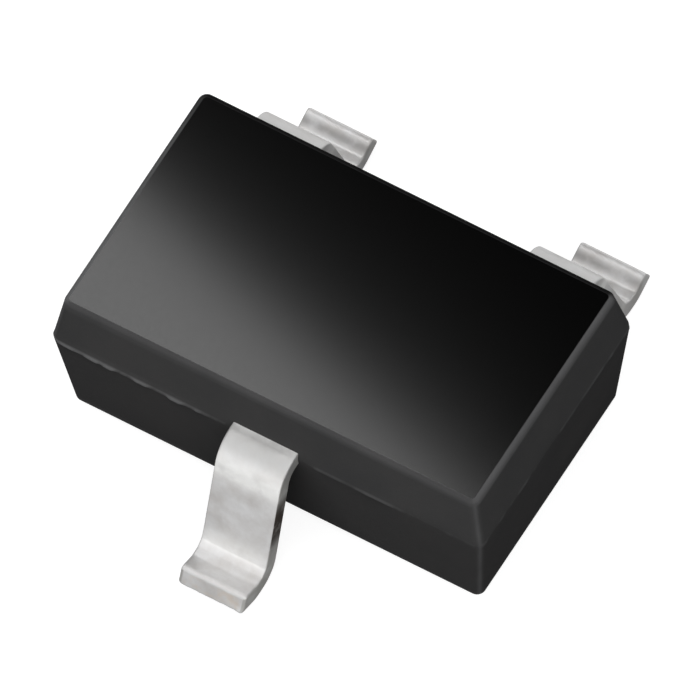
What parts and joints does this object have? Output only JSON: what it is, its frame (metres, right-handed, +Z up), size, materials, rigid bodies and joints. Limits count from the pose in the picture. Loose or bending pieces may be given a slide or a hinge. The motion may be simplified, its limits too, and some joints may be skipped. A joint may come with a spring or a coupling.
{
  "type": "n-channel mosfet",
  "caption": "Small surface-mount n-channel MOSFET: a drafted black moulding with tinned gull-wing leads that switches or amplifies a small current.",
  "frame": {"origin": "centre of the footprint, on the plane of the board that the feet rest on", "axes": "+X along the body, towards the gate lead's end; -Y towards the single drain lead; +Z up from the board"},
  "size_m": [0.002, 0.0022, 0.0009],
  "materials": {
    "mould_compound": "black filled epoxy, finely textured by the mould",
    "tinned_lead": "matt tin plating over copper alloy, bare copper alloy on the cut tips",
    "die_attach": "cured silver-filled epoxy",
    "silicon": "polished silicon with aluminium pads",
    "bond_wire": "drawn gold wire"
  },
  "bodies": {
    "root": {"moulded_body": "mould_compound", "drain_lead": "tinned_lead", "gate_lead": "tinned_lead", "source_lead": "tinned_lead", "die_attach": "die_attach", "silicon_die": "silicon", "gate_bond_wire": "bond_wire", "source_bond_wire": "bond_wire"}
  },
  "joints": []
}
